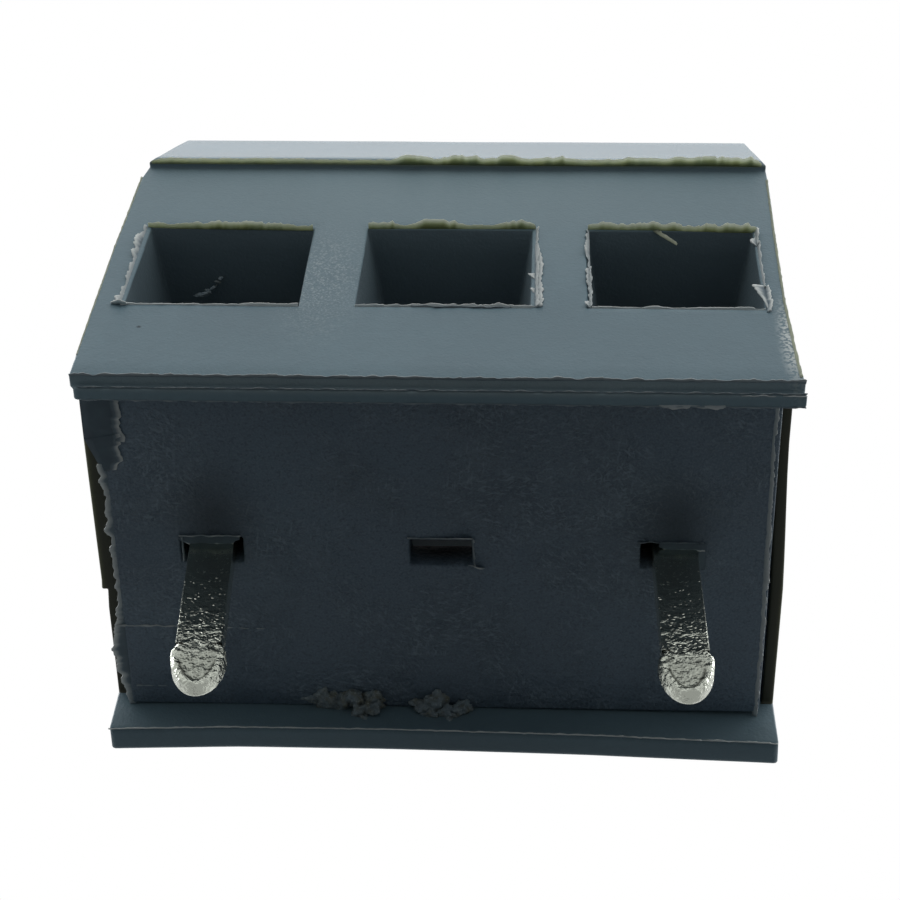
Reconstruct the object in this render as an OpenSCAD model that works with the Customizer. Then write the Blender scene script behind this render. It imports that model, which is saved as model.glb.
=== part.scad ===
// Three-pole printed-circuit-board screw terminal with two loaded poles.
// Millimetres. The board surface is the plane Z = 0, the solder pins point along -Z,
// the wires enter along +Y from the front, and the origin lies on the board between the pins.

/* [Poles] */
// Distance from one pole to the next
pole_pitch = 5.08; // [5:0.01:5.2]

/* [Housing outline] */
// Depth from the front face to the back face
housing_depth = 10; // [9.8:0.1:11]
// Height above the board
housing_h = 15.9; // [15.6:0.1:17]
// Distance from the front face back to the row of solder pins
pin_setback = 5; // [4.8:0.1:5.2]
// Height of the ledge that ends the wire-entry face
ledge_z = 10.7; // [9.5:0.1:12]
// How far the wire-entry face leans back by the time it reaches the ledge
face_lean = 0.15; // [0:0.05:0.4]
// How far the ledge stands out over the wire-entry face
ledge_overhang = 0.15; // [0.05:0.05:0.3]
// Height of the ledge's own upright face
ledge_face_h = 0.25; // [0.1:0.05:0.5]
// How far the sloping upper front is set back at the top
top_setback = 1.9; // [1.2:0.1:2.4]
// Bevel along the top of the back face
back_bevel = 0.3; // [0.1:0.05:0.6]

/* [Housing skirts] */
// Thickness of the front lip that stands on the board
front_lip_t = 0.55; // [0.4:0.05:0.8]
// Thickness of the back skirt that stands on the board
back_skirt_t = 0.65; // [0.5:0.05:0.9]
// Depth of the rebate under the front face
lip_rebate_d = 0.25; // [0.1:0.05:0.35]
// Height of the rebate under the front face
lip_rebate_h = 0.12; // [0.05:0.01:0.2]
// Gap between the board and the lower edge of the side walls
side_edge_z = 1.35; // [1:0.05:1.7]
// Thickness of the side walls' lower edge, beside the base plate
side_edge_t = 0.27; // [0.2:0.01:0.35]
// Thickness of the raised pad on the left side wall
side_pad_t = 0.14; // [0.05:0.01:0.25]
// Length of the raised pad, back from the front face
side_pad_length = 6.4; // [5:0.1:8]

/* [Base plate] */
// How far the base plate lies above the board
plate_recess = 0.9; // [0.6:0.05:1.1]
// Thickness of the base plate
plate_t = 1.2; // [1:0.1:1.4]
// Gap between the plate and the side walls' lower edges
plate_side_gap = 0.1; // [0.05:0.01:0.2]
// Gap between the plate and the front lip or the back skirt
plate_end_gap = 0.04; // [0.02:0.01:0.08]
// Width of a pin slot
slot_w = 1.4; // [1.3:0.05:1.6]
// Size of a pin slot from front to back
slot_d = 0.68; // [0.62:0.02:0.8]
// How far a slot's centre lies in front of the pin's centre
slot_shift = 0.06; // [0:0.01:0.06]
// How far the snap ribs stand out of the plate's front and back edges
snap_rib_d = 0.12; // [0.06:0.01:0.15]
// Height of a snap rib
snap_rib_h = 0.35; // [0.2:0.05:0.5]
// Length of a snap rib
snap_rib_length = 9; // [6:0.5:12]
// Clearance round a snap rib in its groove
snap_clear = 0.05; // [0.02:0.01:0.08]

/* [Wire entries] */
// Width of a wire entry at the front face
entry_w = 3.86; // [3.6:0.02:4]
// Height of a wire entry's lower edge above the board
entry_z = 3.26; // [3.2:0.02:3.4]
// Height of a wire entry at the front face
entry_h = 3.84; // [3.6:0.02:3.9]
// Taper of a wire entry's side walls, in degrees
entry_side_taper = 9; // [5:0.5:10]
// Taper of a wire entry's ceiling, in degrees
entry_ceiling_taper = 4; // [2:0.5:6]

/* [Clamps] */
// How far the screws lie behind the row of solder pins
screw_setback = 0.8; // [0.6:0.05:1]
// Width of the cavity in which a cage slides
cavity_w = 3.9; // [3.7:0.05:4.1]
// Sliding clearance between a cage and its cavity, on each side
cage_clear = 0.1; // [0.06:0.01:0.15]
// Depth of a cage from front to back
cage_d = 4; // [3.8:0.05:4.1]
// Thickness of a cage's side walls
cage_wall_t = 0.5; // [0.4:0.05:0.55]
// Thickness of a cage's floor, which lifts the wire
cage_floor_t = 0.6; // [0.5:0.02:0.6]
// Height of the window through a cage
window_h = 4.5; // [4.45:0.05:4.8]
// Thickness of a cage's threaded head
cage_head_t = 1.6; // [1.3:0.1:1.6]
// Rounding of a cage's upright edges
cage_corner_r = 0.35; // [0.2:0.05:0.45]
// How far a cage rises when its screw is tightened
cage_travel = 3.6; // [3:0.45:3.6]

/* [Solder pins and current bars] */
// Thickness of the tinned strip
strip_t = 0.5; // [0.45:0.01:0.5]
// Inner radius of the strip's bends
bend_r = 0.2; // [0.15:0.05:0.3]
// Width of a solder pin's shank
pin_w = 0.98; // [0.9:0.02:1.1]
// Width of a solder pin's flattened end
pin_end_w = 1.15; // [1.1:0.01:1.2]
// Length of a solder pin below the board surface
pin_length = 3.9; // [3.5:0.1:5]
// Length of the flattened end
pin_end_length = 1; // [0.9:0.05:1.3]
// Thickness of the flattened end's tip
pin_tip_t = 0.36; // [0.3:0.01:0.4]
// Lean of the left pin towards the middle, in degrees
left_pin_lean = 3.4; // [0:0.2:4]
// Lean of the right pin away from the middle, in degrees
right_pin_lean = 1; // [0:0.2:2]
// Sideways offset of the right pin from its pole's centre
right_pin_shift = 0.06; // [0:0.01:0.08]
// Width of the strip's foot and upright
foot_w = 3.2; // [2.8:0.1:3.5]
// Clearance between a current bar and a cage's side walls
bar_side_clear = 0.1; // [0.06:0.01:0.2]
// Clearance between a cage and the strip's upright
upright_clear = 0.2; // [0.1:0.05:0.3]
// Clearance between the open cage and the strip's foot
foot_clear = 0.05; // [0.02:0.01:0.1]

/* [Screws] */
// Nominal thread diameter
thread_d = 2.5; // [2.4:0.05:2.6]
// Running clearance between a screw and its cage, on the radius
thread_clear = 0.03; // [0.02:0.01:0.06]
// Diameter of a screw's head
head_d = 3.7; // [3.5:0.05:3.8]
// Height of a screw's head
head_h = 1.6; // [1.4:0.05:1.7]
// Width of the driver slot
driver_slot_w = 0.7; // [0.5:0.05:0.9]
// Depth of the driver slot
driver_slot_d = 0.9; // [0.6:0.05:1]
// Bevel round a screw's head and tip
screw_bevel = 0.2; // [0.1:0.05:0.3]
// Clearance between a screw's head and its bore, on the radius
head_clear = 0.15; // [0.1:0.01:0.2]
// Diameter of the screwdriver hole in the top of the housing
driver_hole_d = 3.4; // [3:0.05:3.45]
// Gap between a screw's head and the roof over it
roof_gap = 0.1; // [0.05:0.01:0.2]

/* [Hidden] */
$fn = 48;

// Overshoot of a cutting body past the face that it opens
cut = 1;
left = -1;
right = 1;
poles = [left, 0, right];
housing_w = len(poles) * pole_pitch;

front_y = -pin_setback;
back_y = front_y + housing_depth;
recess_front_y = front_y + front_lip_t;
recess_back_y = back_y - back_skirt_t;
recess_w = housing_w - 2 * side_edge_t;
plate_top_z = plate_recess + plate_t;
snap_z = plate_recess + plate_t / 2 - snap_rib_h / 2;

// The strip lies on the base plate, runs back under the cage, up behind it and forward through it
foot_top_z = plate_top_z + strip_t;
cage_floor_z = foot_top_z + foot_clear;
cage_w = cavity_w - 2 * cage_clear;
window_w = cage_w - 2 * cage_wall_t;
window_z = cage_floor_z + cage_floor_t;
cage_h = cage_floor_t + window_h + cage_head_t;
cage_front_y = screw_setback - cage_d / 2;
cage_back_y = screw_setback + cage_d / 2;
cavity_front_y = cage_front_y - cage_clear;
upright_y = cage_back_y + upright_clear;
cavity_back_y = upright_y + strip_t + cage_clear;
bar_w = window_w - 2 * bar_side_clear;
bar_z = entry_z + entry_h;
bar_top_z = bar_z + strip_t;

// The screw stands on the current bar, and its head runs in a bore above the cage's travel
head_z = cage_floor_z + cage_h + cage_travel + roof_gap;
head_bore_d = head_d + 2 * head_clear;
roof_z = head_z + head_h + roof_gap;

// Lays a profile drawn in Y and Z along X, over a width centred on a pole
module along_x(width) {
    translate([-width / 2, 0, 0])
        rotate([90, 0, 90])
            linear_extrude(width)
                children();
}

// Box given by its width centred on X, and its limits along Y and Z
module centred_box(width, y_range, z_range) {
    translate([-width / 2, y_range[0], z_range[0]])
        cube([width, y_range[1] - y_range[0], z_range[1] - z_range[0]]);
}

// Outline of the housing seen from the side
module housing_profile() {
    face_top_z = ledge_z - ledge_face_h;
    face_top_y = front_y + face_lean;
    ledge_y = face_top_y - ledge_overhang;
    polygon([
        [front_y + lip_rebate_d, 0],
        [front_y + lip_rebate_d, lip_rebate_h],
        [front_y, lip_rebate_h],
        [face_top_y, face_top_z],
        [ledge_y, face_top_z],
        [ledge_y, ledge_z],
        [front_y + top_setback, housing_h],
        [back_y - back_bevel, housing_h],
        [back_y, housing_h - back_bevel],
        [back_y, 0]
    ]);
}

// Tapered mouth that leads a wire into its cage
module wire_entry() {
    mouth_y = front_y - cut;
    run = cavity_front_y - front_y;
    side_draw = tan(entry_side_taper);
    ceiling_draw = tan(entry_ceiling_taper);
    mouth_half_w = entry_w / 2 + cut * side_draw;
    throat_half_w = entry_w / 2 - (run + cut) * side_draw;
    mouth_top_z = bar_z + cut * ceiling_draw;
    throat_top_z = bar_z - (run + cut) * ceiling_draw;
    intersection() {
        translate([0, 0, entry_z - cut])
            linear_extrude(entry_h + 2 * cut)
                polygon([
                    [-mouth_half_w, mouth_y], [mouth_half_w, mouth_y],
                    [throat_half_w, cavity_front_y + cut], [-throat_half_w, cavity_front_y + cut]
                ]);
        along_x(entry_w + 2 * cut)
            polygon([
                [mouth_y, entry_z], [cavity_front_y + cut, entry_z],
                [cavity_front_y + cut, throat_top_z], [mouth_y, mouth_top_z]
            ]);
    }
}

// Everything that one pole takes out of the housing
module pole_cavity() {
    centred_box(cavity_w, [cavity_front_y, cavity_back_y], [plate_top_z - cut, head_z]);
    wire_entry();
    translate([0, screw_setback, head_z - cut])
        cylinder(d = head_bore_d, h = roof_z - head_z + cut);
    translate([0, screw_setback, roof_z - cut])
        cylinder(d = driver_hole_d, h = housing_h - roof_z + 2 * cut);
}

// Snap ribs of the base plate, or their grooves when grown by a clearance
module snap_ribs(y_range, grow) {
    for (edge_y = y_range)
        centred_box(
            snap_rib_length + 2 * grow,
            [edge_y - snap_rib_d - grow, edge_y + snap_rib_d + grow],
            [snap_z - grow, snap_z + snap_rib_h + grow]
        );
}

// Moulded case: outer walls, three cavities, the front lip and the back skirt
module housing() {
    color("slategray")
        difference() {
            union() {
                along_x(housing_w) housing_profile();
                translate([left * (housing_w / 2 + side_pad_t), recess_front_y, side_edge_z])
                    cube([side_pad_t, side_pad_length - front_lip_t, ledge_z - ledge_face_h - side_edge_z]);
            }
            centred_box(recess_w, [recess_front_y, recess_back_y], [-cut, plate_top_z]);
            centred_box(housing_w + 2 * cut, [recess_front_y, recess_back_y], [-cut, side_edge_z]);
            snap_ribs([recess_front_y, recess_back_y], snap_clear - plate_end_gap);
            for (pole = poles)
                translate([pole * pole_pitch, 0, 0]) pole_cavity();
        }
}

// Plate that closes the case from below, with a slot for each pole's pin
module base_plate() {
    plate_front_y = recess_front_y + plate_end_gap;
    plate_back_y = recess_back_y - plate_end_gap;
    color("slategray")
        difference() {
            union() {
                centred_box(
                    recess_w - 2 * plate_side_gap,
                    [plate_front_y, plate_back_y],
                    [plate_recess, plate_top_z]
                );
                snap_ribs([plate_front_y, plate_back_y], 0);
            }
            for (pole = poles)
                translate([pole * pole_pitch, 0, 0]) {
                    centred_box(
                        slot_w,
                        [-slot_shift - slot_d / 2, -slot_shift + slot_d / 2],
                        [plate_recess - cut, plate_top_z + cut]
                    );
                    // Room for the strip's bend above the slot
                    centred_box(
                        slot_w,
                        [-slot_shift, strip_t / 2 + 2 * bend_r],
                        [plate_top_z - 2 * bend_r, plate_top_z + cut]
                    );
                }
        }
}

// Quarter of a bend in the strip, from angle a to angle a + 90, about its centre
module strip_bend(centre, a) {
    translate(centre)
        rotate(a)
            intersection() {
                difference() {
                    circle(r = bend_r + strip_t);
                    circle(r = bend_r);
                }
                square(bend_r + strip_t);
            }
}

// Side view of the strip's foot and upright, with the bends at both ends of the upright
module foot_profile() {
    foot_start_y = strip_t / 2 + bend_r;
    lower_y = upright_y - bend_r;
    translate([foot_start_y, plate_top_z]) square([lower_y - foot_start_y, strip_t]);
    strip_bend([lower_y, foot_top_z + bend_r], 270);
    translate([upright_y, foot_top_z + bend_r])
        square([strip_t, bar_z - foot_top_z - 2 * bend_r]);
    strip_bend([lower_y, bar_z - bend_r], 0);
}

// Flat outline of a solder pin's end, widened and rounded to half an ellipse
module pin_end_outline() {
    half_w = pin_end_w / 2;
    shoulder_z = -pin_length + pin_end_length;
    intersection() {
        translate([0, shoulder_z]) scale([1, pin_end_length / half_w]) circle(r = half_w);
        translate([-half_w, -pin_length]) square([pin_end_w, pin_end_length]);
    }
    polygon([
        [-half_w, shoulder_z], [half_w, shoulder_z],
        [pin_w / 2, shoulder_z + pin_end_w - pin_w],
        [-pin_w / 2, shoulder_z + pin_end_w - pin_w]
    ]);
}

// The part of a solder pin below the plate: a shank and its flattened end
module pin_shank() {
    half_t = strip_t / 2;
    shoulder_z = -pin_length + pin_end_length;
    intersection() {
        translate([0, half_t, 0])
            rotate([90, 0, 0])
                linear_extrude(strip_t) {
                    pin_end_outline();
                    translate([-pin_w / 2, shoulder_z]) square([pin_w, plate_recess - shoulder_z]);
                }
        along_x(pin_end_w + cut)
            polygon([
                [-half_t, plate_recess], [-half_t, shoulder_z],
                [half_t - pin_tip_t, -pin_length], [half_t, -pin_length], [half_t, plate_recess]
            ]);
    }
}

// One tinned strip: solder pin, foot, upright and current bar
module solder_pin(lean) {
    translate([0, 0, plate_recess])
        rotate([0, -lean, 0])
            translate([0, 0, -plate_recess]) pin_shank();
    centred_box(pin_w, [-strip_t / 2, strip_t / 2], [plate_recess, plate_top_z - bend_r]);
    along_x(pin_w) strip_bend([strip_t / 2 + bend_r, plate_top_z - bend_r], 90);
    along_x(foot_w) foot_profile();
    centred_box(bar_w, [cavity_front_y + cage_clear, upright_y - bend_r], [bar_z, bar_top_z]);
}

module left_pin() {
    color("silver") translate([left * pole_pitch, 0, 0]) solder_pin(left_pin_lean);
}

module right_pin() {
    color("silver")
        translate([right * pole_pitch + right_pin_shift, 0, 0]) solder_pin(right_pin_lean);
}

// Rectangle with rounded corners, centred on the origin
module rounded_rectangle(size, r) {
    square([size[0] - 2 * r, size[1]], center = true);
    square([size[0], size[1] - 2 * r], center = true);
    for (x = [left, right], y = [left, right])
        translate([x * (size[0] / 2 - r), y * (size[1] / 2 - r)]) circle(r = r);
}

// Rising cage: a floor that lifts the wire, a window for it and a threaded head
module wire_cage() {
    translate([0, screw_setback, cage_floor_z])
        difference() {
            linear_extrude(cage_h) rounded_rectangle([cage_w, cage_d], cage_corner_r);
            centred_box(
                window_w,
                [-cage_d / 2 - cut, cage_d / 2 + cut],
                [cage_floor_t, cage_floor_t + window_h]
            );
            translate([0, 0, cage_h - cage_head_t - cut])
                cylinder(d = thread_d, h = cage_head_t + 2 * cut);
        }
}

module left_cage() {
    color("lightgray") translate([left * pole_pitch, 0, 0]) wire_cage();
}

module right_cage() {
    color("lightgray") translate([right * pole_pitch, 0, 0]) wire_cage();
}

// Slotted clamp screw, turned about its own axis
module clamp_screw() {
    shank_r = thread_d / 2 - thread_clear;
    head_r = head_d / 2;
    head_top_z = head_z + head_h;
    translate([0, screw_setback, 0])
        difference() {
            rotate_extrude()
                polygon([
                    [0, bar_top_z], [shank_r - screw_bevel, bar_top_z],
                    [shank_r, bar_top_z + screw_bevel], [shank_r, head_z],
                    [head_r, head_z], [head_r, head_top_z - screw_bevel],
                    [head_r - screw_bevel, head_top_z], [0, head_top_z]
                ]);
            translate([-head_r - cut, -driver_slot_w / 2, head_top_z - driver_slot_d])
                cube([head_d + 2 * cut, driver_slot_w, driver_slot_d + cut]);
        }
}

module left_screw() {
    color("gainsboro") translate([left * pole_pitch, 0, 0]) clamp_screw();
}

module right_screw() {
    color("gainsboro") translate([right * pole_pitch, 0, 0]) clamp_screw();
}

housing();
base_plate();
left_pin();
right_pin();
left_cage();
right_cage();
left_screw();
right_screw();
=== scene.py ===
import math

import bmesh
import bpy
from mathutils import Matrix, Vector, noise


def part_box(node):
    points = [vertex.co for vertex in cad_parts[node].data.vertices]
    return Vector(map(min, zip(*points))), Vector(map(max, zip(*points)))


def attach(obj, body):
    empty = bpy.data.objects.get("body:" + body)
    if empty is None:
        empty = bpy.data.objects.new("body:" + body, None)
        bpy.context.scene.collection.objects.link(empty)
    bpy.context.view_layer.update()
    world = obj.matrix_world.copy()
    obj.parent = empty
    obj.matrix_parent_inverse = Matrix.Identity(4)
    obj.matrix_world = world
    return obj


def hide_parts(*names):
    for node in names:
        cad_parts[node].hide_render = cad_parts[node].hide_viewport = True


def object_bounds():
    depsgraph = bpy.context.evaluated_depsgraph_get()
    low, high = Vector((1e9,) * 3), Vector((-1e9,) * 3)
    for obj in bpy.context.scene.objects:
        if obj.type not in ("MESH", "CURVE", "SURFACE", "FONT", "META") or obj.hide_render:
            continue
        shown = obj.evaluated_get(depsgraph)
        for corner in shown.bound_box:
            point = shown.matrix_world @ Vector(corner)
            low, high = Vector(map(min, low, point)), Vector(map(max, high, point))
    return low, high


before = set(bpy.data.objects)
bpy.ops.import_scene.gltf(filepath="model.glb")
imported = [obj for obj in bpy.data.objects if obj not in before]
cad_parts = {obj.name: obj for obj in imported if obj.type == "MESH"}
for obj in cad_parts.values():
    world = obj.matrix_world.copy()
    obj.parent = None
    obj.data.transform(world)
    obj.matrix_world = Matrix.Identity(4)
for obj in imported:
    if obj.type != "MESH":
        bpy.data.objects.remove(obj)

# Everything is in metres, and sizes are written in millimetres times MM.
MM = 0.001
cad_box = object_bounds()

# ---------------------------------------------------------------- camera
# The terminal is seen from below and in front, so that its wire entries and its
# solder pins both show. The camera is level with the row of pins but for a slight roll.
camera_place = Vector((2.224, -27.94, -38.534)) * MM
camera_aim = Vector((0.267, -3.208, 0.202)) * MM
camera_roll = math.radians(4.468)
camera_lens = 87.53

camera = bpy.data.objects.new("camera", bpy.data.cameras.new("camera"))
camera.data.lens = camera_lens
camera.data.clip_start = 1 * MM
camera_turn = (camera_aim - camera_place).to_track_quat("-Z", "Y").to_matrix().to_4x4()
camera.matrix_world = (
    Matrix.Translation(camera_place) @ camera_turn @ Matrix.Rotation(camera_roll, 4, "Z")
)
bpy.context.scene.collection.objects.link(camera)
bpy.context.scene.camera = camera
bpy.context.scene.view_settings.view_transform = "Standard"

# ---------------------------------------------------------------- light and floor
# A plain white studio: even light from all round, dimmer from the two sides, a soft lamp high
# at each end, and a pale paper floor under the pins. The floor can't be seen from below, so
# that it doesn't stand in the way of a view from there.
world_level = 1.3
dim_left = 0.4
dim_right = 0.75
white = (1, 1, 1, 1)
floor_size = 0.9
floor_gap = 0.02 * MM
floor_pale = "#eceeef"
floor_bounce = "#606264"
floor_in_mirror = 0.5
lamp_size = 0.1


def colour(code):
    """Linear colour of an sRGB hex code."""
    parts = [int(code[i:i + 2], 16) / 255 for i in (1, 3, 5)]
    return [p / 12.92 if p <= 0.04045 else ((p + 0.055) / 1.055) ** 2.4 for p in parts] + [1.0]


def node(tree, kind, inputs=None, **settings):
    """Adds a node, with its settings, and its inputs as values or as links."""
    made = tree.nodes.new(kind)
    for key, value in settings.items():
        setattr(made, key, value)
    for key, value in (inputs or {}).items():
        if isinstance(value, bpy.types.NodeSocket):
            tree.links.new(value, made.inputs[key])
        else:
            made.inputs[key].default_value = value
    return made


def new_material(name):
    """An empty node material."""
    made = bpy.data.materials.new(name)
    made.use_nodes = True
    made.node_tree.nodes.clear()
    return made


def new_piece(name, bm, materials):
    """Turns a bmesh into an object with these materials."""
    mesh = bpy.data.meshes.new(name)
    bm.to_mesh(mesh)
    bm.free()
    made = bpy.data.objects.new(name, mesh)
    bpy.context.scene.collection.objects.link(made)
    for item in materials:
        mesh.materials.append(item)
    return made


def seen_directly(tree):
    """1 for a ray from the camera or a mirror or glass surface, and 0 for the light itself."""
    path = node(tree, "ShaderNodeLightPath")
    first = node(tree, "ShaderNodeMath", {0: path.outputs["Is Camera Ray"],
                                          1: path.outputs["Is Glossy Ray"]}, operation="MAXIMUM")
    return node(tree, "ShaderNodeMath", {0: first.outputs[0],
                                         1: path.outputs["Is Transmission Ray"]},
                operation="MAXIMUM").outputs[0]


def white_studio():
    """The world: white to look at, and a plain light on the object, softer from its sides."""
    world = bpy.data.worlds.new("white_studio")
    world.use_nodes = True
    tree = world.node_tree
    tree.nodes.clear()
    way = node(tree, "ShaderNodeTexCoord").outputs["Generated"]
    across = node(tree, "ShaderNodeSeparateXYZ", {0: way}).outputs["X"]
    left = node(tree, "ShaderNodeMapRange", {0: across, 1: -1.0, 2: 0.0, 3: dim_left, 4: 1.0})
    right = node(tree, "ShaderNodeMapRange", {0: across, 1: 0.0, 2: 1.0, 3: 1.0, 4: dim_right})
    level = node(tree, "ShaderNodeMath", {0: left.outputs[0], 1: right.outputs[0]},
                 operation="MULTIPLY").outputs[0]
    level = node(tree, "ShaderNodeMath", {0: level, 1: world_level}, operation="MULTIPLY")
    light = node(tree, "ShaderNodeBackground", {"Color": white, "Strength": level.outputs[0]})
    seen = node(tree, "ShaderNodeBackground", {"Color": white, "Strength": 1.0})
    mixed = node(tree, "ShaderNodeMixShader", {0: seen_directly(tree), 1: light.outputs[0],
                                               2: seen.outputs[0]})
    node(tree, "ShaderNodeOutputWorld", {"Surface": mixed.outputs[0]})
    bpy.context.scene.world = world


def pale_floor_material():
    """Matt pale paper, which is see-through from behind and sends little light back up."""
    made = new_material("pale_paper")
    tree = made.node_tree
    path = node(tree, "ShaderNodeLightPath")
    side = node(tree, "ShaderNodeNewGeometry")
    behind = node(tree, "ShaderNodeMath", {0: path.outputs["Is Camera Ray"],
                                           1: side.outputs["Backfacing"]}, operation="MULTIPLY")
    pale = node(tree, "ShaderNodeBsdfDiffuse", {"Color": colour(floor_pale)})
    dim = node(tree, "ShaderNodeBsdfDiffuse", {"Color": colour(floor_bounce)})
    mirror = node(tree, "ShaderNodeEmission", {"Color": white, "Strength": floor_in_mirror})
    clear = node(tree, "ShaderNodeBsdfTransparent")
    lit = node(tree, "ShaderNodeMixShader", {0: path.outputs["Is Camera Ray"],
                                             1: dim.outputs[0], 2: pale.outputs[0]})
    shown = node(tree, "ShaderNodeMixShader", {0: path.outputs["Is Glossy Ray"],
                                               1: lit.outputs[0], 2: mirror.outputs[0]})
    full = node(tree, "ShaderNodeMixShader", {0: behind.outputs[0], 1: shown.outputs[0],
                                              2: clear.outputs[0]})
    node(tree, "ShaderNodeOutputMaterial", {"Surface": full.outputs[0]})
    return made


def add_floor():
    """One square sheet, just clear of the lowest point of the pins."""
    bm = bmesh.new()
    bmesh.ops.create_grid(bm, x_segments=1, y_segments=1, size=floor_size / 2)
    floor_z = cad_box[0][2] - floor_gap
    bmesh.ops.translate(bm, verts=bm.verts, vec=(0, 0, floor_z))
    new_piece("floor", bm, [pale_floor_material()])


def add_lamp(name, place, level):
    """A square soft lamp aimed at the terminal. At level 1 a facing colour renders as written."""
    lamp = bpy.data.objects.new(name, bpy.data.lights.new(name, "AREA"))
    lamp.data.size = lamp_size
    lamp.data.energy = level * math.pi ** 2 * place.length_squared
    lamp.location = place
    lamp.rotation_euler = (-place).to_track_quat("-Z", "Y").to_euler()
    bpy.context.scene.collection.objects.link(lamp)


white_studio()
add_floor()
add_lamp("left_lamp", Vector((-0.16, 0.02, 0.17)), 0.5)
add_lamp("right_lamp", Vector((0.16, 0.03, 0.17)), 0.4)

# ---------------------------------------------------------------- housing
# The case is one injection moulding in slate-grey polyamide: three cavities, a lip and a
# skirt that stand on the board. Its corners are slightly rounded and its faces a little uneven.
# The board's solder joints hold it, through the strips in two of its cavities.
pole_places = (-5.08, 0, 5.08)
edge_round = 0.05 * MM
edge_segments = 3
worn_end = 0.09 * MM
wave_height = 0.012 * MM
wave_length = 2.5 * MM
polyamide_ior = 1.53
case_colour = "#6b838d"
case_pale_and_lit = "#869ba1"
case_dark = "#55656e"
# painted reflection: the smooth slope is tinted bluer, for the bluish reflection on it.
slope_colour = "#567f92"
# painted shade: the wire entries and cavities are painted darker, for the shade inside them.
entry_shade_colour = "#57666d"
# A dark colour for a real speck of dirt, and for painted shade under the ledge, along the skirt's
# foot and round the pins.
shade_and_grime_colour = "#1f2a33"
frost_colour = "#98a6aa"
scrape_colour = "#c3cbca"
rebate_light_colour = "#bcc6c3"
olive_colour = "#787c5e"
olive_dark = "#35382e"
olive_pale = "#c3c8ae"
# Where the case is marked, or has light or shade painted on it: the centre of each mark and its
# reach, by X, Y and Z in millimetres.
# painted light: the front face is painted paler towards its top, where more light falls on it.
painted_light_upper_face = (0, -5, 9.5), (16, 4, 5.5)
frosted_patch = (-2.75, -4.95, 4.6), (1.5, 2, 4)
scraped_border = (7.42, -4.95, 1.9), (0.35, 1, 2.6)
# painted shadow: the front face is painted darker just under the ledge, where its shadow falls.
painted_ledge_shadow = (0, -4.85, 10.45), (16, 0.6, 0.55)
dark_speck = (-6.49, -4.97, 2.21), (0.08, 0.08, 0.08)
# painted light: the rebate under the lip, which lies in shade, is painted paler.
painted_light_on_rebate = (0, -4.88, 0), (16, 0.3, 0.25)
# painted shade: darker along the skirt's foot, near where the plate meets it.
painted_skirt_shade = (0, 4.75, 0.1), (16, 0.8, 0.9)
# painted light: the ledge is painted olive, for light shining through its thin edge.
painted_glow_on_ledge = (0, -5.0, 10.42), (16, 0.14, 0.12)


def merged(name):
    """A bmesh copy of a CAD node, with its loose triangles joined into whole faces."""
    bm = bmesh.new()
    bm.from_mesh(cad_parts[name].data)
    bmesh.ops.remove_doubles(bm, verts=bm.verts, dist=0.001 * MM)
    bmesh.ops.dissolve_limit(bm, angle_limit=math.radians(1), verts=bm.verts, edges=bm.edges)
    return bm


def cut(bm, place, direction, drop_beyond=False):
    """Cuts a mesh by a plane, and may drop what lies beyond it."""
    everything = bm.verts[:] + bm.edges[:] + bm.faces[:]
    bmesh.ops.bisect_plane(bm, geom=everything, dist=1e-8, plane_co=place,
                           plane_no=direction, clear_outer=drop_beyond)


def slice_across(bm, axis, low, high, count):
    """Cuts a mesh by evenly spaced planes, so that its long faces can bend."""
    direction = Vector([float(i == axis) for i in range(3)])
    for i in range(1, count):
        cut(bm, direction * (low + (high - low) * i / count), direction)


def sharp_edges(bm, least=25):
    """Edges at which two faces meet at more than this angle, in degrees."""
    return [e for e in bm.edges
            if len(e.link_faces) == 2 and e.calc_face_angle(0) > math.radians(least)]


def round_edges(bm, edges, width, segments, clamp=True):
    """Rounds these edges. With clamp, an edge shorter than the width narrows all of them."""
    bmesh.ops.bevel(bm, geom=edges, offset=width, offset_type="OFFSET", segments=segments,
                    profile=0.5, affect="EDGES", material=-1, clamp_overlap=clamp)
    bm.normal_update()


def make_uneven(bm, height, length, seed):
    """Moves every point a little along its normal, by a smooth pattern."""
    shift = Vector((seed, seed, seed))
    moves = [(v, v.normal * height * noise.noise(v.co / length + shift)) for v in bm.verts]
    for vertex, move in moves:
        vertex.co += move


def keep_corners(bm):
    """Leaves the edges that weren't rounded sharp."""
    for edge in sharp_edges(bm, 40):
        edge.smooth = False


def smooth_shaded(piece):
    """Smooth shading in which the broad faces stay flat and only the rounded edges turn."""
    for polygon in piece.data.polygons:
        polygon.use_smooth = True
    weighted = piece.modifiers.new("broad_faces_flat", "WEIGHTED_NORMAL")
    weighted.weight = 100
    weighted.keep_sharp = True


def texture_place(tree):
    """Where a point of the piece lies, in metres, for patterns that stay on it as it moves."""
    return node(tree, "ShaderNodeTexCoord").outputs["Object"]


def blend_colour(tree, factor, first, second):
    """Mixes two colours, each a hex code or a socket."""
    sides = [colour(c) if isinstance(c, str) else c for c in (first, second)]
    mix = node(tree, "ShaderNodeMix", {0: factor, 6: sides[0], 7: sides[1]}, data_type="RGBA")
    return mix.outputs[2]


def spots(tree, place, size, cover, softness):
    """A noise pattern with this grain size, cut so that about this share of it is 1."""
    pattern = node(tree, "ShaderNodeTexNoise", {"Vector": place, "Scale": 1 / size,
                                                "Detail": 3.0})
    limit = 0.5 + 0.22 * (1 - 2 * cover)
    ramp = node(tree, "ShaderNodeMapRange", {0: pattern.outputs[0], 1: limit - softness,
                                             2: limit + softness})
    return ramp.outputs[0]


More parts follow.
